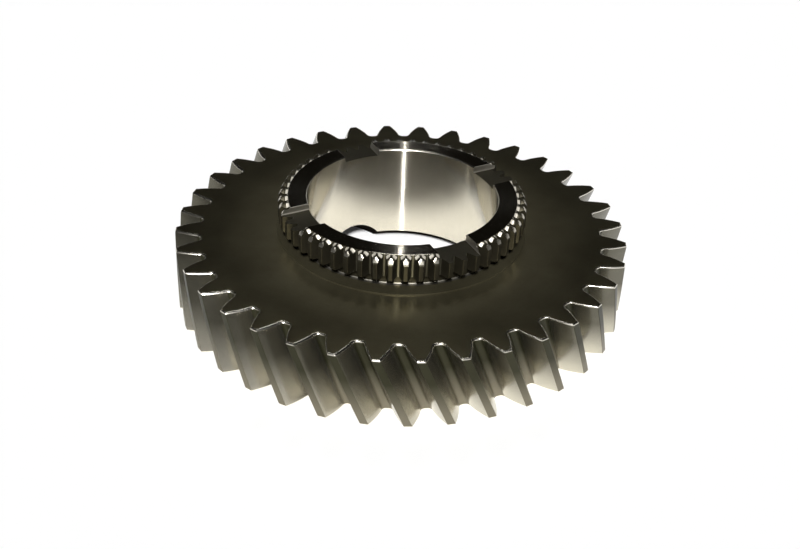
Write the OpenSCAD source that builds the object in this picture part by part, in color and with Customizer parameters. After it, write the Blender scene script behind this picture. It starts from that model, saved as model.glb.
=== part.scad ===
// Helical transmission gear with a clutch ring, turned and cut from one steel blank.
// The origin lies on the bore's axis in the plane of the lower face, and the clutch ring is on top.
// Angles are anticlockwise from +X, seen from above.

/* [Gear teeth] */
// Number of helical teeth
tooth_count = 36; // [30:1:46]
// Module, measured square to the teeth
normal_module = 3.5; // [3:0.25:4.5]
// Pressure angle, measured square to the teeth
pressure_angle = 22.5; // [20:0.5:25]
// Left-hand helix angle at the pitch circle
helix_angle = 22; // [0:1:30]
// Width of the teeth along the axis
face_width = 23.3; // [18:0.1:30]
// Tooth tip above the pitch circle, in modules
addendum_factor = 1; // [0.9:0.05:1.1]
// Tooth root below the pitch circle, in modules
dedendum_factor = 1.25; // [1.15:0.05:1.35]
// Radius of the root fillet, in modules
root_fillet_factor = 0.37; // [0.2:0.01:0.38]
// Metal taken off each flank at the pitch circle
flank_allowance = 0.1; // [0:0.05:0.3]
// Chamfer round both ends of the teeth
end_chamfer = 0.4; // [0.2:0.1:0.8]
// Direction of the first tooth on the upper face
first_tooth = 5.5; // [0:0.1:10]

/* [Bore] */
// Bore diameter
bore_d = 60; // [50:0.5:63]
// Chamfer at the upper end of the bore
bore_top_chamfer = 0.4; // [0.2:0.1:1]
// Radial width of the chamfer at the lower end of the bore
bore_lower_chamfer_w = 4; // [1:0.1:5]
// Height of the chamfer at the lower end of the bore
bore_lower_chamfer_h = 3.3; // [1:0.1:5]

/* [Oil notches] */
// Number of notches across the lower edge of the bore
notch_count = 4; // [2:1:6]
// Diameter of the cutter that makes a notch
notch_cutter_d = 22; // [16:0.5:30]
// Height that a notch reaches on the bore wall, above the lower face
notch_height = 7.5; // [5:0.1:9]
// Slope of a notch's roof, falling outwards
notch_slope = 28; // [24:1:45]
// Direction of the first notch
first_notch = 33; // [0:0.5:90]

/* [Hub] */
// Diameter of the low boss on the upper face
boss_d = 79; // [74:0.2:90]
// Height of the low boss
boss_h = 0.4; // [0.2:0.1:1]
// Diameter of the neck below the clutch ring
neck_d = 67.4; // [66:0.2:70]
// Fillet where the neck meets the boss
neck_fillet = 0.8; // [0.3:0.1:1.5]

/* [Clutch ring] */
// Top of the clutch ring above the upper face
clutch_top = 11.8; // [9:0.1:16]
// Underside of the clutch ring above the upper face
clutch_underside = 4.1; // [3:0.1:6]
// Number of clutch teeth
dog_count = 54; // [42:1:60]
// Diameter over the clutch teeth
dog_tip_d = 78.2; // [77:0.2:82]
// Diameter at the roots of the clutch teeth
dog_root_d = 72; // [71:0.2:74]
// Width of a clutch tooth at its tip
dog_tip_w = 1.4; // [1:0.1:1.8]
// Gap between clutch teeth at their roots
dog_root_gap = 0.75; // [0.5:0.05:1.2]
// Slope of the two roof faces on each clutch tooth
dog_roof_slope = 45; // [30:1:50]
// Radial width of the chamfer on the upper corner of the clutch teeth
dog_chamfer_w = 1.1; // [0.5:0.1:1.5]
// Height of the chamfer on the upper corner of the clutch teeth
dog_chamfer_h = 2; // [1:0.1:3]
// Chamfer on the lower corner of the clutch teeth
dog_lower_chamfer = 0.5; // [0.2:0.1:1]
// Direction of the first clutch tooth
first_dog = 6; // [0:0.1:6.6]

/* [Ring slots] */
// Number of slots across the top of the clutch ring
slot_count = 4; // [2:1:6]
// Width of a slot
slot_w = 12.5; // [8:0.5:16]
// Depth of a slot
slot_depth = 2; // [1:0.1:3]
// Direction of the first slot
first_slot = 28.3; // [0:0.1:90]

/* [Hidden] */

steel = [0.47, 0.46, 0.42];
degree = 180 / PI;
// Smoothness of turned shapes
round_fn = 180;
// How far a cutter reaches past the metal
clear = 1;
// Points along an involute flank, along a root fillet, and steps up the helix
flank_steps = 4;
fillet_steps = 3;
helix_steps = 4;

pitch_r = tooth_count * normal_module / cos(helix_angle) / 2;
tip_r = pitch_r + addendum_factor * normal_module;
root_r = pitch_r - dedendum_factor * normal_module;
root_fillet = root_fillet_factor * normal_module;
transverse_angle = atan(tan(pressure_angle) / cos(helix_angle));
base_r = pitch_r * cos(transverse_angle);
tooth_pitch = 360 / tooth_count;
twist = face_width * tan(helix_angle) / pitch_r * degree;
// Half of the angle between the two involutes of a tooth where they leave the base circle
base_half_angle = tooth_pitch / 4 + involute(transverse_angle) - flank_allowance / pitch_r * degree;

bore_r = bore_d / 2;
dog_tip_r = dog_tip_d / 2;
dog_root_r = dog_root_d / 2;
dog_pitch = 360 / dog_count;
clutch_z = face_width + clutch_underside;
top_z = face_width + clutch_top;
// Radius of the inner ring of vertices in the flat end faces of the blank
cap_r = (bore_r + root_r) / 2;

// Polar angle that an involute gains while its own slope grows to the given angle
function involute(slope) = tan(slope) * degree - slope;

function polar(r, angle) = [r * cos(angle), r * sin(angle)];

function turned(p, angle) = [
    p[0] * cos(angle) - p[1] * sin(angle),
    p[0] * sin(angle) + p[1] * cos(angle)
];

function flipped(points) = [for (i = [len(points) - 1:-1:0]) [points[i][0], -points[i][1]]];

// Involute point at radius r, on a flank moved into the metal by inset
function involute_point(r, inset) =
    polar(r, base_half_angle - inset / base_r * degree - involute(acos(min(1, base_r / r))));

// One flank from its tip to its root, for a tooth that points along +X.
// The fillet's centre lies on an involute that runs parallel to the flank.
function flank(inset) =
    let (
        fillet = root_fillet + inset,
        centre_r = root_r + root_fillet,
        centre_slope = acos(base_r / centre_r),
        centre_angle = base_half_angle + root_fillet / base_r * degree - involute(centre_slope),
        contact = sqrt(centre_r * centre_r - base_r * base_r) - fillet,
        contact_r = sqrt(base_r * base_r + contact * contact),
        tip = tip_r - inset
    )
    concat(
        [for (i = [0:flank_steps]) involute_point(tip + (contact_r - tip) * i / flank_steps, inset)],
        [for (i = [1:fillet_steps])
            polar(centre_r, centre_angle)
            + polar(fillet, centre_angle - centre_slope - 90 - (90 - centre_slope) * i / fillet_steps)]
    );

function tooth(inset) = concat(flipped(flank(inset)), flank(inset));

// Helical blank with chamfered tooth ends, as layers of outlines joined by triangles
module gear_blank() {
    helix_heights = [for (i = [0:helix_steps])
        end_chamfer + (face_width - 2 * end_chamfer) * i / helix_steps];
    heights = concat([0], helix_heights, [face_width]);
    top = len(heights) - 1;
    body_tooth = tooth(0);
    end_tooth = tooth(end_chamfer);
    tooth_points = len(body_tooth);
    ring = tooth_count * tooth_points;

    outlines = [for (layer = [0:top], k = [0:tooth_count - 1], i = [0:tooth_points - 1])
        let (
            z = heights[layer],
            p = layer == 0 || layer == top ? end_tooth[i] : body_tooth[i],
            q = turned(p, first_tooth + k * tooth_pitch + twist * (face_width - z) / face_width)
        )
        [q[0], q[1], z]];
    caps = [for (z = [0, face_width], k = [0:tooth_count - 1])
        let (q = polar(cap_r, first_tooth + k * tooth_pitch + twist * (face_width - z) / face_width))
        [q[0], q[1], z]];
    centres = [[0, 0, 0], [0, 0, face_width]];

    cap_start = len(outlines);
    centre_start = cap_start + len(caps);

    sides = [for (layer = [0:top - 1], i = [0:ring - 1])
        let (
            j = (i + 1) % ring,
            low = layer * ring,
            high = low + ring
        )
        each [[low + i, high + i, high + j], [low + i, high + j, low + j]]];
    // Each tooth's end is a fan from one inner vertex, and a triangle fills the way to the next fan
    ends = [for (side = [0, 1], k = [0:tooth_count - 1])
        let (
            n = (k + 1) % tooth_count,
            rim = side * top * ring,
            hub = cap_start + side * tooth_count,
            fan = [for (i = [0:tooth_points - 1])
                [hub + k, rim + k * tooth_points + i, rim + (k * tooth_points + i + 1) % ring]],
            rest = [[hub + k, rim + n * tooth_points, hub + n], [centre_start + side, hub + k, hub + n]]
        )
        each [for (t = concat(fan, rest)) side == 0 ? t : [t[0], t[2], t[1]]]];

    polyhedron(points = concat(outlines, caps, centres), faces = concat(sides, ends));
}

// Low boss and the neck that carries the clutch ring
module hub() {
    translate([0, 0, face_width - boss_h])
        cylinder(d = boss_d, h = 2 * boss_h, $fn = round_fn);
    translate([0, 0, face_width - boss_h])
        cylinder(d = neck_d, h = clutch_underside + 2 * boss_h, $fn = round_fn);
    translate([0, 0, face_width + boss_h])
        rotate_extrude($fn = round_fn)
            translate([neck_d / 2, 0])
                difference() {
                    translate([-clear, -boss_h / 2])
                        square([clear + neck_fillet, boss_h / 2 + neck_fillet]);
                    translate([neck_fillet, neck_fillet])
                        circle(r = neck_fillet, $fn = round_fn);
                }
}

// Outline of the clutch ring with straight-sided teeth
module dog_outline() {
    tip_half = asin(dog_tip_w / 2 / dog_tip_r);
    root_half = dog_pitch / 2 - asin(dog_root_gap / 2 / dog_root_r);
    polygon([for (k = [0:dog_count - 1])
        let (middle = first_dog + k * dog_pitch)
        each [
            polar(dog_root_r, middle - root_half),
            polar(dog_tip_r, middle - tip_half),
            polar(dog_tip_r, middle + tip_half),
            polar(dog_root_r, middle + root_half)
        ]]);
}

// Turned form that bounds the clutch teeth, with a chamfer above and below
module dog_envelope() {
    reach = dog_tip_r;
    rotate_extrude($fn = round_fn)
        polygon([
            [0, clutch_z],
            [reach - dog_lower_chamfer, clutch_z],
            [reach, clutch_z + dog_lower_chamfer],
            [reach, top_z - dog_chamfer_h],
            [reach - dog_chamfer_w, top_z],
            [0, top_z]
        ]);
}

// V-shaped cutter between two clutch teeth, which leaves a roof on each
module roof_cutter() {
    depth = dog_root_r * sin(dog_pitch / 2) * tan(dog_roof_slope);
    rise = clear * tan(dog_roof_slope);
    half = dog_root_r * sin(dog_pitch / 2) + clear;
    translate([dog_root_r, 0, top_z])
        rotate([90, 0, 90])
            linear_extrude(dog_tip_r - dog_root_r + clear)
                polygon([[-half, rise], [0, -depth], [half, rise]]);
}

module ring_slot() {
    translate([bore_r - clear - slot_w / 2, -slot_w / 2, top_z - slot_depth])
        cube([dog_tip_r - bore_r + 2 * clear + slot_w / 2, slot_w, slot_depth + clear]);
}

module clutch_ring() {
    difference() {
        intersection() {
            translate([0, 0, clutch_z])
                linear_extrude(top_z - clutch_z)
                    dog_outline();
            dog_envelope();
        }
        for (k = [0:dog_count - 1])
            rotate([0, 0, first_dog + (k + 0.5) * dog_pitch])
                roof_cutter();
        for (k = [0:slot_count - 1])
            rotate([0, 0, first_slot + k * 360 / slot_count])
                ring_slot();
    }
}

module bore() {
    translate([0, 0, -clear])
        cylinder(r = bore_r, h = top_z + 2 * clear, $fn = round_fn);
    translate([0, 0, top_z - bore_top_chamfer])
        cylinder(
            r1 = bore_r,
            r2 = bore_r + bore_top_chamfer + clear,
            h = bore_top_chamfer + clear,
            $fn = round_fn
        );
    grow = bore_lower_chamfer_w / bore_lower_chamfer_h * clear;
    translate([0, 0, -clear])
        cylinder(
            r1 = bore_r + bore_lower_chamfer_w + grow,
            r2 = bore_r,
            h = bore_lower_chamfer_h + clear,
            $fn = round_fn
        );
}

// Sloping cylindrical cutter that breaks the lower edge of the bore
module oil_notch() {
    cutter_r = notch_cutter_d / 2;
    inward = bore_r / 3;
    outward = bore_r;
    translate([bore_r, 0, notch_height])
        rotate([0, 90 + notch_slope, 0])
            translate([cutter_r, 0, -inward])
                cylinder(r = cutter_r, h = inward + outward, $fn = round_fn);
}

module transmission_gear() {
    color(steel)
        difference() {
            union() {
                gear_blank();
                hub();
                clutch_ring();
            }
            bore();
            for (k = [0:notch_count - 1])
                rotate([0, 0, first_notch + k * 360 / notch_count])
                    oil_notch();
        }
}

transmission_gear();
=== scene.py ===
"""Looks of the transmission gear: one detailed mesh, its steel finishes, the studio and the camera.

Lengths are in millimetres until the mesh is made, in the row's frame: the origin is on the bore's
axis in the lower face, +Z points to the clutch ring, and angles are anticlockwise from +X.
"""

import math

import bpy
import numpy as np
from mathutils import Matrix, Vector


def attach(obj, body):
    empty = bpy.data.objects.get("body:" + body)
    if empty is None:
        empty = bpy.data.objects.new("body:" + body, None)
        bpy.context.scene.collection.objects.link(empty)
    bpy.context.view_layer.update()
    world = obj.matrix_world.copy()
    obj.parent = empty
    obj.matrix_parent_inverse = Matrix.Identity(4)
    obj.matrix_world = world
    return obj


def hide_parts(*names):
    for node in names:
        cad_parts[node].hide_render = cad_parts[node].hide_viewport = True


MM = 0.001
TURN = 2 * math.pi

# Gear teeth
TOOTH_COUNT = 36
NORMAL_MODULE = 3.5
PRESSURE_ANGLE = math.radians(22.5)
HELIX_ANGLE = math.radians(22)
FACE_WIDTH = 23.3
ADDENDUM = NORMAL_MODULE
DEDENDUM = 1.25 * NORMAL_MODULE
ROOT_FILLET = 0.37 * NORMAL_MODULE
FLANK_ALLOWANCE = 0.1
FIRST_TOOTH = math.radians(5.5)
TIP_ROUND = 0.22
LEAST_TIP_ROUND = 0.02
# Keeps the finer mesh inside the box of the plain solid
TIP_RELIEF = 0.004
# Rounded chamfer at both ends of the teeth: inset from the outline, and depth below the end face
TOOTH_END = [(0.0, 0.50), (0.035, 0.36), (0.14, 0.17), (0.31, 0.05), (0.48, 0.0)]

# End faces: the loop next to the teeth's roots, and loops that keep the faces' quads short
END_LOOP_INSET = 1.6
OUTER_LOOP_R = 54.0
INNER_LOOP_R = 46.0

# Boss with rounded edges: radius beyond BOSS_R, and height above the face
BOSS_R = 39.5
BOSS_H = 0.4
BOSS_STEP = [
    (0.10, 0.0),
    (0.02, 0.03),
    (0.0, 0.10),
    (0.0, BOSS_H - 0.10),
    (-0.03, BOSS_H - 0.03),
    (-0.10, BOSS_H),
]

# Neck, its fillet and the bright strip round it, a painted highlight below the clutch teeth
NECK_R = 33.7
NECK_FILLET = 0.8
NECK_FILLET_STEPS = 8
NECK_HIGHLIGHT_STEPS = 4
NECK_HIGHLIGHT_R = 34.9
NECK_CORNER = 0.15
LEDGE_INSET = 0.5
CLUTCH_Z = FACE_WIDTH + 4.1
TOP_Z = FACE_WIDTH + 11.8

# Bore. Its chamfers, 0.4 mm above and 4 mm by 3.3 mm below, have rounded edges: radius beyond the
# bore, and distance from the ring's top or from the lower face. A loop lies between them
BORE_R = 30.0
BORE_LOOP_Z = 19.0
BORE_TOP_CHAMFER = [(0.45, 0.0), (0.35, 0.035), (0.05, 0.36), (0.0, 0.46)]
BORE_LOWER_CHAMFER = [(0.0, 3.40), (0.06, 3.22), (3.90, 0.05), (4.06, 0.0)]

# Clutch teeth
DOG_COUNT = 54
DOG_TIP_R = 39.1
DOG_ROOT_R = 36.0
DOG_TIP_W = 1.4
DOG_ROOT_GAP = 0.75
DOG_CHAMFER_W = 1.1
DOG_CHAMFER_H = 2.0
DOG_LOWER_CHAMFER = 0.5
FIRST_DOG = math.radians(6)
DOG_CORNER = 0.28
DOG_EDGE = 0.09
GAP_MARGIN = 0.03
# Rounded outer edge of the ring's top: shift along the radius, and height left above its level
RING_EDGE = [(-0.03, DOG_EDGE * 0.65), (-0.06, DOG_EDGE * 0.35), (-0.20, 0.0)]

# Roofs of the clutch teeth: blend between the faces, fillet at the ring's wall, and the bright and
# dark stretches of their finish, which paint the highlights on the upper cone and in the fillets
ROOF_BLEND = 0.10
RIDGE_DROP = 0.05
ROOF_FILLET_W = 1.3
ROOF_FILLET_H = 0.9
ROOF_HIGHLIGHT_W = 0.9
ROOF_DARK = 0.22
CONE_HIGHLIGHT_H = 1.6

# Slots across the ring, and the run of their cutters
SLOT_COUNT = 4
SLOT_W = 12.5
SLOT_DEPTH = 2.0
FIRST_SLOT = math.radians(28.3)
SLOT_FILLET = 0.35
SLOT_EDGE = 0.12
SLOT_FLARE = 1.0
SLOT_START_R = 24.0
SLOT_RUN = 18.0

# Oil notches in the bore's lower edge, and the run of their cutters
NOTCH_COUNT = 4
NOTCH_R = 11.0
NOTCH_HEIGHT = 7.5
NOTCH_SLOPE = math.radians(28)
FIRST_NOTCH = math.radians(33)
NOTCH_BACK = 10.0
NOTCH_RUN = 40.0

# How finely the shapes are cut
ROUND_STEPS = 432
FLANK_STEPS = 8
FILLET_STEPS = 5
CORNER_STEPS = 4
BODY_LAYERS = 14
DOG_ROWS = 10
DOG_COLUMNS = 8
GAP_POINTS = 6
GAP_SHADE = 1
SLOT_FILLET_POINTS = 6
NOTCH_STEPS = 160
SHARP_ANGLE = math.radians(38)
NORMAL_WEIGHT = 60

# Values worked out from those above
PITCH_R = TOOTH_COUNT * NORMAL_MODULE / math.cos(HELIX_ANGLE) / 2
TIP_R = PITCH_R + ADDENDUM - TIP_RELIEF
ROOT_R = PITCH_R - DEDENDUM
TRANSVERSE_ANGLE = math.atan(math.tan(PRESSURE_ANGLE) / math.cos(HELIX_ANGLE))
BASE_R = PITCH_R * math.cos(TRANSVERSE_ANGLE)
TOOTH_PITCH = TURN / TOOTH_COUNT
TWIST = FACE_WIDTH * math.tan(HELIX_ANGLE) / PITCH_R
DOG_PITCH = TURN / DOG_COUNT

# The steel's finishes, and their numbers in the mesh
FINISHES = ["face", "rim", "flank", "edge", "ring", "dogs", "cone", "gaps", "fillet", "bore",
            "slot", "wall", "notch"]
(FACE, RIM, FLANK, EDGE, RING, DOGS, CONE, GAPS, FILLET, BORE,
 SLOT, WALL, NOTCH) = range(len(FINISHES))

# Wear of the steel: features per millimetre, their share of the tone and their swing of roughness
CLOUD_SCALE = 0.06
GRIT_SCALE = 2.3
WEAR_ROUGHNESS = 0.6
GRIT_SHARE = 0.2
TONE_SPAN = (0.36, 0.64)
CLOUD_SWING = 0.10
GRIT_SWING = 0.04
MARK_TURN_SCALE = 0.7
MARK_TONE = 0.6
MARK_SWING = 0.05

# Scratches: features per millimetre, and how much darker they are
SCRATCH_SCALE = 31.0
SCRATCH_DARK = 0.65

# Heights between which the teeth's colour turns lighter towards their lower end, a painted
# reflection of the bright floor, and radii between which the face loses its dull skin
PAINTED_LIGHT_FROM = 15.0
PAINTED_LIGHT_TO = 3.0
PAINTED_LIGHT_BLEND = 0.4
DULL_R = 40.0
BRIGHT_R = 58.0

# Lamps: directions and widths in degrees, and the level that each gives a white floor
KEY_AZIMUTH = 270
KEY_ELEVATIONS = (40, 43, 46)
KEY_LEVEL = 0.33
KEY_WIDTH = 3
BACK_AZIMUTH = 90
BACK_ELEVATION = 52
BACK_LEVEL = 0.036
BACK_WIDTH = 10
# Toward the middle key lamp
TO_KEY = (0.0, -0.73, 0.68)

# Studio: walls that turn dark with height and lean to the back, and a white floor in metres
WALL_LEAN = -0.05
WALL_TOP = 0.07
WALL_DARK = (0.006, 0.0055, 0.0045, 1.0)
FLOOR_SIZE = 30.0
FLOOR_COLOUR = (0.94, 0.94, 0.94, 1.0)
FLOOR_GLOW = 0.03

# Camera: place, turn about Z, pitch down and roll, fitted to the photograph
CAMERA_MM = (0.32, -340.08, 227.97)
CAMERA_YAW = math.radians(0.033)
CAMERA_PITCH = math.radians(33.280)
CAMERA_ROLL = math.radians(2.238)
CAMERA_LENS = 55.88
SENSOR_WIDTH = 36.0
CLIP_START_M = 0.01

WHITE = (1.0, 1.0, 1.0, 1.0)
BLACK = (0.0, 0.0, 0.0, 1.0)


def polar(r, angle):
    return np.array([r * math.cos(angle), r * math.sin(angle)])


def radius_and_angle(p):
    return float(np.hypot(*p)), math.atan2(p[1], p[0])


def involute(slope):
    return math.tan(slope) - slope


BASE_HALF_ANGLE = TOOTH_PITCH / 4 + involute(TRANSVERSE_ANGLE) - FLANK_ALLOWANCE / PITCH_R


class Skin:
    """The gear's surface, gathered loop by loop. Every loop runs anticlockwise, seen from above."""

    def __init__(self):
        self.points = []
        self.faces = []
        self.finishes = []

    def loop(self, points):
        start = len(self.points)
        self.points.extend(tuple(p) for p in points)
        return list(range(start, len(self.points)))

    def point(self, r, angle, z):
        return self.loop([(r * math.cos(angle), r * math.sin(angle), z)])[0]

    def circle(self, r, z):
        angles = [TURN * i / ROUND_STEPS for i in range(ROUND_STEPS)]
        return self.loop((r * math.cos(a), r * math.sin(a), z) for a in angles)

    def face(self, corners, finish):
        self.faces.append(tuple(corners))
        self.finishes.append(finish)

    def band(self, a, b, finish):
        """Quads from loop a to loop b, which have the same number of points.

        finish is one finish, or a list of them that repeats round the loop.
        """
        pattern = finish if isinstance(finish, list) else [finish]
        for i in range(len(a)):
            j = (i + 1) % len(a)
            self.face((a[i], a[j], b[j], b[i]), pattern[i % len(pattern)])

    def stitch(self, a, b, finish):
        """Triangles from loop a to loop b, which have different numbers of points."""
        angle_a = self.angles(a)
        angle_b = self.angles(b)
        first = min(range(len(b)), key=lambda k: abs(math.remainder(angle_b[k] - angle_a[0], TURN)))
        b = b[first:] + b[:first]
        angle_b = self.angles(b)
        angle_b += round((angle_a[0] - angle_b[0]) / TURN) * TURN
        angle_a = np.append(angle_a, angle_a[0] + TURN)
        angle_b = np.append(angle_b, angle_b[0] + TURN)
        a, b = a + a[:1], b + b[:1]
        i = j = 0
        while i < len(a) - 1 or j < len(b) - 1:
            along_a = i < len(a) - 1 and (j == len(b) - 1 or angle_a[i + 1] <= angle_b[j + 1])
            if along_a:
                self.face((a[i], a[i + 1], b[j]), finish)
                i += 1
            else:
                self.face((a[i], b[j + 1], b[j]), finish)
                j += 1

    def angles(self, loop):
        points = np.array([self.points[k] for k in loop])
        return np.unwrap(np.arctan2(points[:, 1], points[:, 0]))

    def turned(self, start, profile):
        """Bands of the turned profile, a list of (radius, height, finish), from loop start on."""
        for r, z, finish in profile:
            end = self.circle(r, z)
            self.band(start, end, finish)
            start = end
        return start

    def shifted(self, loop, grow, rise):
        """A copy of a loop, moved along the radius and up."""
        points = []
        for k in loop:
            x, y, z = self.points[k]
            share = 1 + grow / math.hypot(x, y)
            points.append((x * share, y * share, z + rise))
        return self.loop(points)


def involute_point(r, inset):
    slope = math.acos(min(1.0, BASE_R / r))
    return polar(r, BASE_HALF_ANGLE - inset / BASE_R - involute(slope))


def tip_corner(inset):
    """Half the tip land and the rounded corner beside it, and the radius where the flank starts."""
    tip = TIP_R - inset
    corner = max(TIP_ROUND - inset, LEAST_TIP_ROUND)
    corner_r = tip - corner
    corner_angle = (
        BASE_HALF_ANGLE - (inset + corner) / BASE_R - involute(math.acos(BASE_R / corner_r))
    )
    centre = polar(corner_r, corner_angle)
    flank_r = math.hypot(BASE_R, math.sqrt(corner_r**2 - BASE_R**2) + corner)
    toward = involute_point(flank_r, inset) - centre
    end_angle = math.atan2(toward[1], toward[0])
    points = [polar(tip, 0.0), polar(tip, corner_angle / 2)]
    for i in range(CORNER_STEPS + 1):
        angle = corner_angle + (end_angle - corner_angle) * i / CORNER_STEPS
        points.append(centre + polar(corner, angle))
    return points, flank_r


def root_fillet(inset):
    """The fillet from the flank to the middle of the root, and the radius where the flank ends."""
    centre_r = ROOT_R + ROOT_FILLET
    slope = math.acos(BASE_R / centre_r)
    centre_angle = BASE_HALF_ANGLE + ROOT_FILLET / BASE_R - involute(slope)
    fillet = ROOT_FILLET + inset
    flank_r = math.hypot(BASE_R, math.sqrt(centre_r**2 - BASE_R**2) - fillet)
    points = []
    for i in range(1, FILLET_STEPS + 1):
        sweep = (math.pi / 2 - slope) * i / FILLET_STEPS
        angle = centre_angle - slope - math.pi / 2 - sweep
        points.append(polar(centre_r, centre_angle) + polar(fillet, angle))
    points.append(polar(ROOT_R - inset, TOOTH_PITCH / 2))
    return points, flank_r


def half_tooth(inset):
    """Points from the middle of the tip land to the middle of the root, on the positive side."""
    points, upper_r = tip_corner(inset)
    fillet, lower_r = root_fillet(inset)
    for i in range(1, FLANK_STEPS + 1):
        points.append(involute_point(upper_r + (lower_r - upper_r) * i / FLANK_STEPS, inset))
    return points + fillet


def gear_outline(inset, z):
    """Outline of all the teeth at height z."""
    half = half_tooth(inset)
    mirrored = [np.array([p[0], -p[1]]) for p in half[-2:0:-1]]
    tooth = np.array(mirrored + half)
    points = []
    for k in range(TOOTH_COUNT):
        angle = FIRST_TOOTH + k * TOOTH_PITCH + TWIST * (FACE_WIDTH - z) / FACE_WIDTH
        c, s = math.cos(angle), math.sin(angle)
        for x, y in tooth:
            points.append((x * c - y * s, x * s + y * c, z))
    return points


def tooth_finishes():
    """Finish of each step round one tooth: ground flanks between dark roots and a dark tip land."""
    half = [RIM] * (2 + CORNER_STEPS) + [FLANK] * FLANK_STEPS + [RIM] * (FILLET_STEPS + 1)
    return half[-2::-1] + half + half[-1:]


def add_teeth(skin):
    """Helical rim. Returns its outlines in the lower and the upper end face."""
    margin = TOOTH_END[0][1]
    heights = [margin + (FACE_WIDTH - 2 * margin) * i / BODY_LAYERS for i in range(BODY_LAYERS + 1)]
    layers = [(inset, depth, EDGE) for inset, depth in reversed(TOOTH_END[1:])]
    layers += [(0.0, heights[0], EDGE)]
    layers += [(0.0, z, tooth_finishes()) for z in heights[1:]]
    layers += [(inset, FACE_WIDTH - depth, EDGE) for inset, depth in TOOTH_END[1:]]
    lowest = low = skin.loop(gear_outline(layers[0][0], layers[0][1]))
    for inset, z, finish in layers[1:]:
        high = skin.loop(gear_outline(inset, z))
        skin.band(low, high, finish)
        low = high
    return lowest, low


def dog_side():
    """Points and outward normals along one side of a clutch tooth, from its root to its tip land."""
    root_half = DOG_PITCH / 2 - math.asin(DOG_ROOT_GAP / 2 / DOG_ROOT_R)
    tip_half = math.asin(DOG_TIP_W / 2 / DOG_TIP_R)
    root, tip = polar(DOG_ROOT_R, root_half), polar(DOG_TIP_R, tip_half)
    along = (tip - root) / np.linalg.norm(tip - root)
    normal = np.array([-along[1], along[0]])
    centre_r = DOG_TIP_R - DOG_CORNER
    offset = float(root @ normal) - DOG_CORNER
    centre = normal * offset + along * math.sqrt(centre_r**2 - offset**2)
    start = centre + DOG_CORNER * normal
    points = [root + (start - root) * i / DOG_ROWS for i in range(DOG_ROWS + 1)]
    normals = [normal] * (DOG_ROWS + 1)
    first = math.atan2(normal[1], normal[0])
    last = math.atan2(centre[1], centre[0])
    for i in range(1, CORNER_STEPS + 1):
        n = polar(1.0, first + (last - first) * i / CORNER_STEPS)
        points.append(centre + DOG_CORNER * n)
        normals.append(n)
    return points, normals


def roof_planes(r, angle):
    """Heights of the faces that meet on a clutch tooth's top: the steep cone, a short level ridge
    and two roof faces, which sweep up to the ring's wall."""
    half = DOG_ROOT_R * math.sin(DOG_PITCH / 2)
    near_wall = max(0.0, 1 - (r - DOG_ROOT_R) / ROOF_FILLET_W)
    base = TOP_Z - half + ROOF_FILLET_H * near_wall**2
    return [
        TOP_Z - (r - (DOG_TIP_R - DOG_CHAMFER_W)) * DOG_CHAMFER_H / DOG_CHAMFER_W,
        TOP_Z - RIDGE_DROP,
        base + r * math.sin(DOG_PITCH / 2 - angle),
        base + r * math.sin(DOG_PITCH / 2 + angle),
    ]


def roof_finish(r, angle):
    """Painted highlights: bright on the upper cone and in the fillets at the wall, dark on the faces
    between them.
    """
    planes = roof_planes(r, angle)
    if min(planes) == planes[0] and planes[0] > TOP_Z - CONE_HIGHLIGHT_H:
        return CONE
    in_fillet_highlight = r < DOG_ROOT_R + ROOF_HIGHLIGHT_W and abs(angle) > ROOF_DARK * DOG_PITCH / 2
    return FILLET if in_fillet_highlight else DOGS


def roof_height(r, angle):
    """Height of a clutch tooth's top, with the edges between its faces blended."""
    planes = roof_planes(r, angle)
    lowest = min(planes)
    total = sum(math.exp((lowest - p) / ROOF_BLEND) for p in planes)
    return lowest - ROOF_BLEND * math.log(total)


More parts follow.
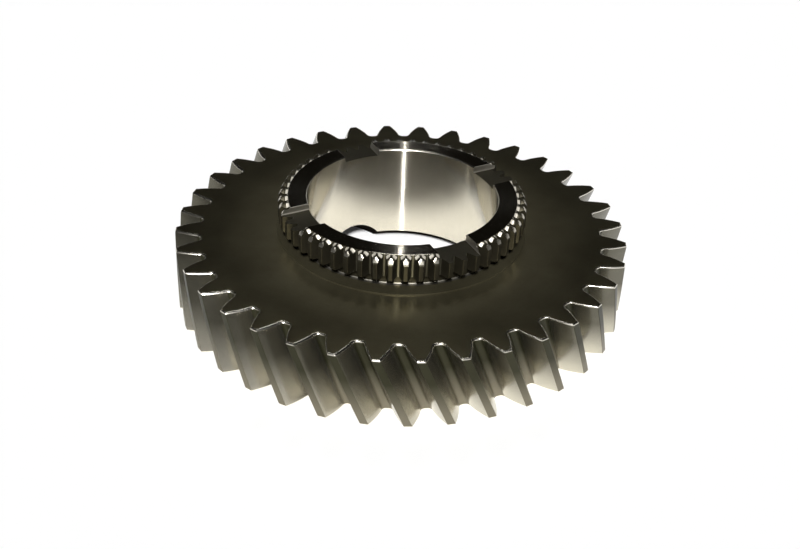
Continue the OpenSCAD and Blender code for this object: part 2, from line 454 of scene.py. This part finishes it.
class DogRing:
    """The clutch teeth and the gaps between them, with the loops that run round all of them."""

    def __init__(self, skin):
        self.skin = skin
        side, normals = dog_side()
        inner = [p - DOG_EDGE * n for p, n in zip(side, normals)]
        # Radius and half angle of the outline, and of the roof's rim inside it
        self.side = [radius_and_angle(p) for p in side]
        self.inner = [radius_and_angle(p) for p in inner]
        root_half = self.side[0][1]
        self.inner[0] = radius_and_angle(polar(DOG_ROOT_R, root_half - DOG_EDGE / DOG_ROOT_R))
        self.gap_half = DOG_PITCH / 2 - root_half - GAP_MARGIN / DOG_ROOT_R
        self.under, self.lower, self.upper, self.top = [], [], [], []
        self.first_edges, self.last_edges, self.gaps = [], [], []

    def build(self):
        """Returns the loop at the outer edge of the ring's underside, and of its top."""
        for k in range(DOG_COUNT):
            middle = FIRST_DOG + k * DOG_PITCH
            grid = self.add_roof(middle)
            outline = self.add_outline(middle, grid)
            edge = self.add_wall(middle, grid)
            self.first_edges.append((outline[0], grid[0][0], edge[0]))
            self.last_edges.append((grid[0][-1], outline[-1], edge[-1]))
            self.top.extend(edge)
            self.add_gap(middle + DOG_PITCH / 2)
        self.join_gaps()
        self.add_sides(len(outline))
        return self.under, self.top

    def add_roof(self, middle):
        """Top of one tooth. Returns its rows of points, from the ring's wall to the tip."""
        grid = []
        for r, half in self.inner:
            spread = [half * (2 * i / DOG_COLUMNS - 1) for i in range(DOG_COLUMNS + 1)]
            grid.append([self.skin.point(r, middle + a, roof_height(r, a)) for a in spread])
        for j in range(len(grid) - 1):
            low, high = grid[j:j + 2]
            r, half = (sum(pair) / 2 for pair in zip(*self.inner[j:j + 2]))
            for i in range(DOG_COLUMNS):
                finish = roof_finish(r, half * ((2 * i + 1) / DOG_COLUMNS - 1))
                self.skin.face((low[i + 1], low[i], high[i], high[i + 1]), finish)
        return grid

    def add_outline(self, middle, grid):
        """Rounded edge from the roof's rim to the outline at full size, just below it."""
        tip_half = self.side[-1][1]
        path = [(r, -half, row[0]) for (r, half), row in zip(self.side, grid)]
        for i in range(1, DOG_COLUMNS):
            path.append((DOG_TIP_R, tip_half * (2 * i / DOG_COLUMNS - 1), grid[-1][i]))
        path += [(r, half, row[-1]) for (r, half), row in zip(self.side[::-1], grid[::-1])]
        outline = []
        for r, angle, rim in path:
            outline.append(self.skin.point(r, middle + angle, self.skin.points[rim][2] - DOG_EDGE))
            self.add_foot(middle, r, angle)
        rims = [rim for r, angle, rim in path]
        for i in range(len(path) - 1):
            self.skin.face((outline[i], outline[i + 1], rims[i + 1], rims[i]), DOGS)
        self.upper.extend(outline)
        return outline

    def add_foot(self, middle, r, angle):
        """One point of the outline in each of the two lower loops."""
        rise = DOG_EDGE + max(0.0, r - (DOG_TIP_R - DOG_LOWER_CHAMFER))
        self.lower.append(self.skin.point(r, middle + angle, CLUTCH_Z + rise))
        inset_r = min(r, DOG_TIP_R - DOG_LOWER_CHAMFER) - DOG_EDGE
        inset_angle = angle * (1 - DOG_EDGE / 2)
        self.under.append(self.skin.point(inset_r, middle + inset_angle, CLUTCH_Z))

    def add_wall(self, middle, grid):
        """Wall from the roof up to the ring's outer edge. Returns the edge's points."""
        half = self.inner[0][1]
        edge = [
            self.skin.point(DOG_ROOT_R, middle + half * (2 * i / DOG_COLUMNS - 1), TOP_Z - DOG_EDGE)
            for i in range(DOG_COLUMNS + 1)
        ]
        for i in range(DOG_COLUMNS):
            self.skin.face((grid[0][i], grid[0][i + 1], edge[i + 1], edge[i]), DOGS)
        return edge

    def add_gap(self, middle):
        """Points of the wall between two teeth."""
        gap = []
        for i in range(GAP_POINTS):
            angle = self.gap_half * (2 * i / (GAP_POINTS - 1) - 1)
            gap.append(self.skin.point(DOG_ROOT_R, middle + angle, TOP_Z - DOG_EDGE))
            self.add_foot(middle, DOG_ROOT_R, angle)
        self.gaps.append(gap)
        self.upper.extend(gap)
        self.top.extend(gap)

    def join_gaps(self):
        """Small faces that close the corners between each roof and the gaps beside it."""
        for k in range(DOG_COUNT):
            outline, roof, edge = self.first_edges[k]
            self.skin.face((outline, roof, edge, self.gaps[k - 1][-1]), DOGS)
            roof, outline, edge = self.last_edges[k]
            self.skin.face((roof, outline, self.gaps[k][0], edge), DOGS)

    def add_sides(self, outline_points):
        """Sides of the teeth, with bright gaps between dark corners, and the edge below them."""
        shade = [DOGS] * (GAP_SHADE + 1)
        bright = [GAPS] * (GAP_POINTS - 1 - 2 * GAP_SHADE)
        sides = [DOGS] * (outline_points - 1) + shade + bright + shade
        self.skin.band(self.lower, self.upper, sides)
        self.skin.band(self.under, self.lower, DOGS)


def neck_profile():
    """Upper face, boss, fillet and neck, up to the underside of the clutch ring."""
    boss_z = FACE_WIDTH + BOSS_H
    profile = [(r, FACE_WIDTH, FACE) for r in (OUTER_LOOP_R, INNER_LOOP_R)]
    profile += [(BOSS_R + dr, FACE_WIDTH + dz, FACE) for dr, dz in BOSS_STEP]
    # Painted highlight: the light wall finish on the strip round the neck and the fillet's lower
    # half
    profile += [(NECK_HIGHLIGHT_R, boss_z, FACE), (NECK_R + NECK_FILLET, boss_z, WALL)]
    for i in range(1, NECK_FILLET_STEPS + 1):
        a = math.pi / 2 * i / NECK_FILLET_STEPS
        r = NECK_R + NECK_FILLET * (1 - math.sin(a))
        z = boss_z + NECK_FILLET - NECK_FILLET * math.cos(a)
        profile.append((r, z, WALL if i <= NECK_HIGHLIGHT_STEPS else DOGS))
    return profile + [(NECK_R, CLUTCH_Z - NECK_CORNER, DOGS), (NECK_R + NECK_CORNER, CLUTCH_Z, DOGS)]


def bore_profile():
    """Upper chamfer, bore and lower chamfer, and the lower face out to the teeth."""
    upper = [(BORE_R + dr, TOP_Z - depth) for dr, depth in BORE_TOP_CHAMFER[1:]]
    lower = [(BORE_R + dr, z) for dr, z in BORE_LOWER_CHAMFER]
    places = upper + [(BORE_R, BORE_LOOP_Z)] + lower
    places += [(INNER_LOOP_R, 0.0), (ROOT_R - END_LOOP_INSET, 0.0)]
    # The lower chamfer takes the black notch finish, a painted shade under the bore's edge
    kinds = [RING, EDGE, EDGE, BORE, BORE, NOTCH, NOTCH, EDGE, FACE, FACE]
    return [(r, z, kind) for (r, z), kind in zip(places, kinds)]


def build_skin():
    skin = Skin()
    low_rim, high_rim = add_teeth(skin)
    under, top = DogRing(skin).build()

    start = skin.circle(ROOT_R - END_LOOP_INSET, FACE_WIDTH)
    skin.stitch(high_rim, start, FACE)
    neck = skin.turned(start, neck_profile())
    ledge = skin.circle(DOG_ROOT_R - LEDGE_INSET, CLUTCH_Z)
    skin.band(neck, ledge, DOGS)
    skin.stitch(ledge, under, DOGS)

    for grow, rise in RING_EDGE:
        edge = skin.shifted(top, grow, rise)
        skin.band(top, edge, DOGS if rise else RING)
        top = edge
    inner = skin.circle(BORE_R + BORE_TOP_CHAMFER[0][0], TOP_Z)
    skin.stitch(top, inner, RING)
    last = skin.turned(inner, bore_profile())
    skin.stitch(last, low_rim, FACE)
    return skin


def mesh_object(name, points, faces, finishes, materials):
    mesh = bpy.data.meshes.new(name)
    mesh.from_pydata([tuple(MM * c for c in p) for p in points], [], faces)
    for material in materials:
        mesh.materials.append(material)
    mesh.polygons.foreach_set("material_index", finishes)
    mesh.polygons.foreach_set("use_smooth", [True] * len(faces))
    mesh.update()
    piece = bpy.data.objects.new(name, mesh)
    bpy.context.scene.collection.objects.link(piece)
    return piece


def prism(section, length, place):
    """Points and faces of a section in (across, up), run along local X, then moved by place."""
    count = len(section)
    points = [place @ Vector((x, y, z)) for x in (0.0, length) for y, z in section]
    faces = [tuple(range(count - 1, -1, -1)), tuple(range(count, 2 * count))]
    for i in range(count):
        j = (i + 1) % count
        faces.append((i, j, count + j, count + i))
    return points, faces


def slot_section():
    """Milled slot: filleted at the floor and flared where it breaks the ring's top."""
    floor, half = TOP_Z - SLOT_DEPTH, SLOT_W / 2
    right = [(half - SLOT_FILLET * (1 - math.sin(a)), floor + SLOT_FILLET * (1 - math.cos(a)))
             for a in np.linspace(0, math.pi / 2, SLOT_FILLET_POINTS)]
    right += [(half, TOP_Z - SLOT_EDGE), (half + SLOT_FLARE, TOP_Z + SLOT_FLARE - SLOT_EDGE)]
    return right + [(-y, z) for y, z in reversed(right)]


def slot_cutters(materials):
    """Tools that mill the slots: bright walls, and a dark floor as the prism's last face."""
    made = []
    for k in range(SLOT_COUNT):
        place = Matrix.Rotation(FIRST_SLOT + k * TURN / SLOT_COUNT, 4, "Z")
        place = place @ Matrix.Translation((SLOT_START_R, 0, 0))
        points, faces = prism(slot_section(), SLOT_RUN, place)
        kinds = [WALL] * (len(faces) - 1) + [SLOT]
        made.append(mesh_object("slot_cutter", points, faces, kinds, materials))
    return made


def notch_cutters(materials):
    """Round tools that mill the oil notches, sloping down and out from the bore."""
    made = []
    section = [tuple(polar(NOTCH_R, TURN * i / NOTCH_STEPS)) for i in range(NOTCH_STEPS)]
    for k in range(NOTCH_COUNT):
        place = Matrix.Rotation(FIRST_NOTCH + k * TURN / NOTCH_COUNT, 4, "Z")
        place = place @ Matrix.Translation((BORE_R, 0, NOTCH_HEIGHT))
        place = place @ Matrix.Rotation(NOTCH_SLOPE, 4, "Y")
        place = place @ Matrix.Translation((-NOTCH_BACK, 0, -NOTCH_R))
        points, faces = prism(section, NOTCH_RUN, place)
        # Their cut faces take the black notch finish, a painted shade
        made.append(mesh_object("notch_cutter", points, faces, [NOTCH] * len(faces), materials))
    return made


def cut(piece, tools):
    """Takes the tools away from the piece, with their finishes on the cut faces."""
    for tool in tools:
        modifier = piece.modifiers.new("cut", "BOOLEAN")
        modifier.operation = "DIFFERENCE"
        modifier.solver = "MANIFOLD"
        modifier.object = tool
        modifier.material_mode = "INDEX"
    apply_modifiers(piece)
    for tool in tools:
        bpy.data.objects.remove(tool)


def apply_modifiers(piece):
    bpy.context.view_layer.update()
    graph = bpy.context.evaluated_depsgraph_get()
    mesh = bpy.data.meshes.new_from_object(piece.evaluated_get(graph))
    old = piece.data
    piece.modifiers.clear()
    piece.data = mesh
    bpy.data.meshes.remove(old)


def shade(piece):
    """Smooth shading that keeps flat faces flat and corners crisp."""
    piece.data.polygons.foreach_set("use_smooth", [True] * len(piece.data.polygons))
    piece.data.set_sharp_from_angle(angle=SHARP_ANGLE)
    modifier = piece.modifiers.new("normals", "WEIGHTED_NORMAL")
    modifier.keep_sharp = True
    modifier.weight = NORMAL_WEIGHT
    apply_modifiers(piece)


class Nodes:
    """Short calls for making the node tree of a material or the world."""

    def __init__(self, owner):
        self.owner = owner
        owner.use_nodes = True
        self.tree = owner.node_tree
        self.tree.nodes.clear()

    def add(self, kind, **settings):
        node = self.tree.nodes.new(kind)
        for key, value in settings.items():
            setattr(node, key, value)
        return node

    def link(self, source, target):
        self.tree.links.new(source, target)

    def feed(self, target, value):
        """Links a socket to the target, or sets a plain value on it."""
        if isinstance(value, bpy.types.NodeSocket):
            self.link(value, target)
        else:
            target.default_value = value

    def math(self, operation, *values, clamp=False):
        node = self.add("ShaderNodeMath", operation=operation, use_clamp=clamp)
        for socket, value in zip(node.inputs, values):
            self.feed(socket, value)
        return node.outputs[0]

    def vector_math(self, operation, *values):
        node = self.add("ShaderNodeVectorMath", operation=operation)
        for socket, value in zip(node.inputs, values):
            self.feed(socket, value)
        return node

    def scaled(self, vector, factor):
        node = self.vector_math("SCALE", vector)
        self.feed(node.inputs["Scale"], factor)
        return node.outputs[0]

    def swung(self, value, noise, amount):
        """The value, raised and lowered by a noise whose middle is 0.5."""
        swing = self.math("MULTIPLY", self.math("SUBTRACT", noise, 0.5), amount)
        return self.math("ADD", value, swing)

    def blend(self, factor, a, b):
        """Colour a where factor is 0, b where it is 1."""
        node = self.add("ShaderNodeMix", data_type="RGBA")
        self.feed(node.inputs[0], factor)
        self.feed(node.inputs[6], a)
        self.feed(node.inputs[7], b)
        return node.outputs[2]

    def span(self, value, low, high, out_low, out_high):
        node = self.add("ShaderNodeMapRange")
        for socket, item in zip(node.inputs, (value, low, high, out_low, out_high)):
            self.feed(socket, item)
        return node.outputs[0]

    def vector(self, x, y, z):
        node = self.add("ShaderNodeCombineXYZ")
        for socket, value in zip(node.inputs, (x, y, z)):
            self.feed(socket, value)
        return node.outputs[0]

    def noise(self, vector, scale, detail, roughness=0.5):
        node = self.add("ShaderNodeTexNoise")
        self.feed(node.inputs["Vector"], vector)
        node.inputs["Scale"].default_value = scale
        node.inputs["Detail"].default_value = detail
        node.inputs["Roughness"].default_value = roughness
        return node.outputs[0]

    def round_tangent(self):
        """Direction round the bore's axis."""
        return self.add("ShaderNodeTangent", direction_type="RADIAL", axis="Z").outputs[0]

    def finish(self, kind, shader):
        output = self.add(kind)
        self.link(shader, output.inputs[0])
        return self.owner


def round_space(n):
    """Millimetre coordinates in the row's frame: place, radius, height and angle."""
    place = n.scaled(n.add("ShaderNodeTexCoord").outputs["Object"], 1 / MM)
    split = n.add("ShaderNodeSeparateXYZ")
    n.link(place, split.inputs[0])
    x, y, z = split.outputs
    radius = n.math("SQRT", n.math("ADD", n.math("MULTIPLY", x, x), n.math("MULTIPLY", y, y)))
    return {"place": place, "radius": radius, "height": z, "angle": n.math("ARCTAN2", y, x)}


def scratches(n, space, tilt, rarity):
    """Fine turning scratches, too small to see one by one: their share of the surface, and the
    surface's normal, which leans across them by the slope tilt, to the side of the key lamps."""
    share = n.math("GREATER_THAN", n.noise(space["place"], SCRATCH_SCALE, 0.0), 0.5 + rarity)
    normal = n.add("ShaderNodeNewGeometry").outputs["Normal"]
    across = n.vector_math("CROSS_PRODUCT", normal, n.round_tangent()).outputs[0]
    side = n.math("SIGN", n.vector_math("DOT_PRODUCT", across, TO_KEY).outputs["Value"])
    lean = n.scaled(across, n.math("MULTIPLY", n.math("MULTIPLY", share, side), tilt))
    total = n.vector_math("ADD", normal, lean).outputs[0]
    return share, n.vector_math("NORMALIZE", total).outputs[0]


def worn(n, space, rough, marks):
    """Tone from 0 to 1 and roughness, which both wander with clouds, grit and turning marks."""
    cloud = n.noise(space["place"], CLOUD_SCALE, 4.0, WEAR_ROUGHNESS)
    grit = n.noise(space["place"], GRIT_SCALE, 3.0, WEAR_ROUGHNESS)
    cloud_part = n.math("MULTIPLY", cloud, 1 - GRIT_SHARE)
    tone = n.math("ADD", cloud_part, n.math("MULTIPLY", grit, GRIT_SHARE))
    tone = n.span(tone, *TONE_SPAN, 0.0, 1.0)
    value = n.swung(n.swung(rough, cloud, CLOUD_SWING), grit, GRIT_SWING)
    if marks:
        lines = n.noise(n.vector(
            n.math("MULTIPLY", space["radius"], 1 / marks),
            n.math("MULTIPLY", space["height"], 1 / marks),
            n.math("MULTIPLY", space["angle"], MARK_TURN_SCALE),
        ), 1.0, 2.0, WEAR_ROUGHNESS)
        tone = n.swung(tone, lines, MARK_TONE)
        value = n.swung(value, lines, MARK_SWING)
    return tone, value


def painted_floor_light(n, space, colour, lower):
    """The colour, turning to lower at the lower end of the teeth, a painted reflection of the bright
    floor.
    """
    low = n.span(space["height"], PAINTED_LIGHT_FROM, PAINTED_LIGHT_TO, 0.0, 1.0)
    low = n.math("SMOOTH_MIN", low, 1.0, PAINTED_LIGHT_BLEND)
    return n.blend(n.math("MAXIMUM", low, 0.0), colour, (*lower, 1.0))


def steel(name, colours, rough, metal=1.0, specular=0.5, lower=None, marks=None, scratch=None):
    """Machined steel. colours are the two that its tone wanders between.

    metal may be a pair: its values at the ring and at the rim. lower is the colour that it turns
    to at the lower end of the teeth, a painted reflection of the bright floor, marks is the spacing
    of turning marks in mm, and scratch is the slope, rarity and roughness of fine scratches.
    """
    n = Nodes(bpy.data.materials.new(name))
    space = round_space(n)
    tone, value = worn(n, space, rough, marks)
    dark, light = colours
    colour = n.blend(tone, (*dark, 1.0), (*light, 1.0))
    # Painted light: lighter towards the teeth's lower end, in place of the floor's reflection
    if lower:
        colour = painted_floor_light(n, space, colour, lower)

    shader = n.add("ShaderNodeBsdfPrincipled")
    if isinstance(metal, tuple):
        metal = n.span(space["radius"], DULL_R, BRIGHT_R, *metal)
    n.feed(shader.inputs["Metallic"], metal)
    shader.inputs["Specular IOR Level"].default_value = specular
    if scratch:
        tilt, rarity, scratch_rough = scratch
        scratched, normal = scratches(n, space, tilt, rarity)
        value = n.math("ADD", value, n.math("MULTIPLY", scratched, scratch_rough - rough))
        colour = n.blend(n.math("MULTIPLY", scratched, SCRATCH_DARK), colour, BLACK)
        shader.inputs["Anisotropic"].default_value = 1.0
        shader.inputs["Anisotropic Rotation"].default_value = 0.25
        n.link(n.round_tangent(), shader.inputs["Tangent"])
        n.link(normal, shader.inputs["Normal"])
    n.link(colour, shader.inputs["Base Color"])
    n.link(value, shader.inputs["Roughness"])
    return n.finish("ShaderNodeOutputMaterial", shader.outputs[0])


def finishes():
    """The steel's materials, in the order of FINISHES: dark heat-treated skin, ground steel, and
    painted light and shade.
    """
    skin = (0.030, 0.029, 0.015), (0.042, 0.040, 0.022)
    turned = (0.088, 0.078, 0.046), (0.118, 0.106, 0.064)
    dull = (0.125, 0.117, 0.088), (0.170, 0.160, 0.123)
    ground = (0.56, 0.53, 0.44), (0.66, 0.62, 0.53)
    honed = (0.57, 0.54, 0.455), (0.66, 0.625, 0.535)
    polished_and_highlight = (0.72, 0.68, 0.58), (0.82, 0.77, 0.66)
    bright = (0.82, 0.78, 0.68), (0.92, 0.88, 0.78)
    hardened = (0.038, 0.034, 0.021), (0.060, 0.053, 0.034)
    broached = (0.20, 0.19, 0.15), (0.26, 0.25, 0.20)
    milled_floor = (0.062, 0.057, 0.040), (0.085, 0.078, 0.055)
    milled_wall_and_highlight = (0.42, 0.40, 0.34), (0.50, 0.47, 0.41)
    black_painted_shade = (0.006, 0.005, 0.004), (0.010, 0.009, 0.007)
    looks = {
        "face": dict(colours=turned, rough=0.31, metal=(0.70, 0.95), marks=0.22),
        # lower: painted reflection of the bright floor at the teeth's lower end
        "rim": dict(colours=skin, rough=0.38, metal=0.60, specular=0.2, lower=(0.20, 0.18, 0.13)),
        "flank": dict(colours=dull, rough=0.24, metal=0.88, specular=0.3, lower=(0.53, 0.50, 0.41)),
        "edge": dict(colours=bright, rough=0.26),
        "ring": dict(colours=polished_and_highlight, rough=0.095, marks=0.16, scratch=(1.10, 0.19, 0.22)),
        "dogs": dict(colours=hardened, rough=0.32, metal=0.75),
        # cone: painted highlight, bright steel only on the upper cone
        "cone": dict(colours=ground, rough=0.30),
        "gaps": dict(colours=broached, rough=0.38),
        # fillet: painted highlight in the roof fillets
        "fillet": dict(colours=polished_and_highlight, rough=0.45, metal=0.5),
        "bore": dict(colours=honed, rough=0.14, marks=0.12, scratch=(0.70, 0.21, 0.18)),
        "slot": dict(colours=milled_floor, rough=0.45, metal=0.95),
        # wall: also the painted highlight round the neck
        "wall": dict(colours=milled_wall_and_highlight, rough=0.45),
        # notch: black, a painted shade on the notches and the bore's lower chamfer
        "notch": dict(colours=black_painted_shade, rough=0.60, metal=0.0, specular=0.0),
    }
    return [steel(f"steel_{name}", **looks[name]) for name in FINISHES]


def add_world():
    """Studio walls: white low down behind the gear, dark in front and overhead."""
    n = Nodes(bpy.data.worlds.new("studio"))
    split = n.add("ShaderNodeSeparateXYZ")
    n.link(n.add("ShaderNodeTexCoord").outputs["Generated"], split.inputs[0])
    ramp = n.add("ShaderNodeValToRGB")
    height = n.math("MULTIPLY_ADD", split.outputs["Y"], WALL_LEAN, split.outputs["Z"])
    n.link(height, ramp.inputs[0])
    ramp.color_ramp.interpolation = "EASE"
    first, last = ramp.color_ramp.elements
    first.position, first.color = 0.0, WHITE
    last.position, last.color = WALL_TOP, WALL_DARK
    background = n.add("ShaderNodeBackground")
    n.link(ramp.outputs[0], background.inputs[0])
    bpy.context.scene.world = n.finish("ShaderNodeOutputWorld", background.outputs[0])


def floor_material():
    """White floor that takes shadows, with a faint glow where it is seen or mirrored."""
    n = Nodes(bpy.data.materials.new("floor"))
    paths = n.add("ShaderNodeLightPath")
    seen = n.math("ADD", paths.outputs["Is Camera Ray"], paths.outputs["Is Glossy Ray"])
    seen = n.math("ADD", seen, paths.outputs["Is Transmission Ray"], clamp=True)
    diffuse = n.add("ShaderNodeBsdfDiffuse")
    diffuse.inputs["Color"].default_value = FLOOR_COLOUR
    glow = n.add("ShaderNodeEmission")
    n.link(n.math("MULTIPLY", seen, FLOOR_GLOW), glow.inputs["Strength"])
    both = n.add("ShaderNodeAddShader")
    n.link(diffuse.outputs[0], both.inputs[0])
    n.link(glow.outputs[0], both.inputs[1])
    return n.finish("ShaderNodeOutputMaterial", both.outputs[0])


def add_floor():
    mesh = bpy.data.meshes.new("floor")
    corners = [(-1, -1), (1, -1), (1, 1), (-1, 1)]
    mesh.from_pydata([(FLOOR_SIZE * x, FLOOR_SIZE * y, 0) for x, y in corners], [], [(0, 1, 2, 3)])
    mesh.materials.append(floor_material())
    floor = bpy.data.objects.new("floor", mesh)
    bpy.context.scene.collection.objects.link(floor)


def add_sun(name, azimuth, elevation, level, width):
    """Soft lamp far away. level is what it gives a white floor, and width its angle in degrees."""
    lamp = bpy.data.lights.new(name, "SUN")
    lamp.energy = math.pi * level / math.sin(math.radians(elevation))
    lamp.angle = math.radians(width)
    lamp_object = bpy.data.objects.new(name, lamp)
    a, e = math.radians(azimuth), math.radians(elevation)
    toward = Vector((math.cos(e) * math.cos(a), math.cos(e) * math.sin(a), math.sin(e)))
    lamp_object.rotation_euler = toward.to_track_quat("Z", "Y").to_euler()
    bpy.context.scene.collection.objects.link(lamp_object)


def add_lamps():
    """Three narrow key lamps behind the camera, and a weak one behind the gear."""
    for elevation in KEY_ELEVATIONS:
        add_sun(f"key_{elevation}", KEY_AZIMUTH, elevation, KEY_LEVEL, KEY_WIDTH)
    add_sun("back", BACK_AZIMUTH, BACK_ELEVATION, BACK_LEVEL, BACK_WIDTH)


def add_camera():
    forward = Vector((
        -math.sin(CAMERA_YAW) * math.cos(CAMERA_PITCH),
        math.cos(CAMERA_YAW) * math.cos(CAMERA_PITCH),
        -math.sin(CAMERA_PITCH),
    ))
    level = Vector((math.cos(CAMERA_YAW), math.sin(CAMERA_YAW), 0.0))
    above = level.cross(forward)
    right = math.cos(CAMERA_ROLL) * level + math.sin(CAMERA_ROLL) * above
    up = math.cos(CAMERA_ROLL) * above - math.sin(CAMERA_ROLL) * level
    data = bpy.data.cameras.new("camera")
    data.sensor_fit = "HORIZONTAL"
    data.sensor_width = SENSOR_WIDTH
    data.lens = CAMERA_LENS
    data.clip_start = CLIP_START_M
    camera = bpy.data.objects.new("camera", data)
    matrix = Matrix((right, up, -forward)).transposed().to_4x4()
    matrix.translation = Vector(CAMERA_MM) * MM
    camera.matrix_world = matrix
    bpy.context.scene.collection.objects.link(camera)
    bpy.context.scene.camera = camera


def build_gear():
    materials = finishes()
    skin = build_skin()
    gear = mesh_object("gear", skin.points, skin.faces, skin.finishes, materials)
    cut(gear, slot_cutters(materials) + notch_cutters(materials))
    shade(gear)
    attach(gear, "root")
    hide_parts("transmission_gear")


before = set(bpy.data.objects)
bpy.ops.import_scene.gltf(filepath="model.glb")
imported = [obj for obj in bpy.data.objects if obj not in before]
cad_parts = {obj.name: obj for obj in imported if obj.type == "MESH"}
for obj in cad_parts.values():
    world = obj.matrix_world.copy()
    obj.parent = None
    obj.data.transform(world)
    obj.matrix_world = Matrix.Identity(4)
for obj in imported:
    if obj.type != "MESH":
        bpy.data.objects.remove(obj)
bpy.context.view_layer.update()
bpy.context.scene.view_settings.view_transform = "Standard"
build_gear()
add_world()
add_floor()
add_lamps()
add_camera()
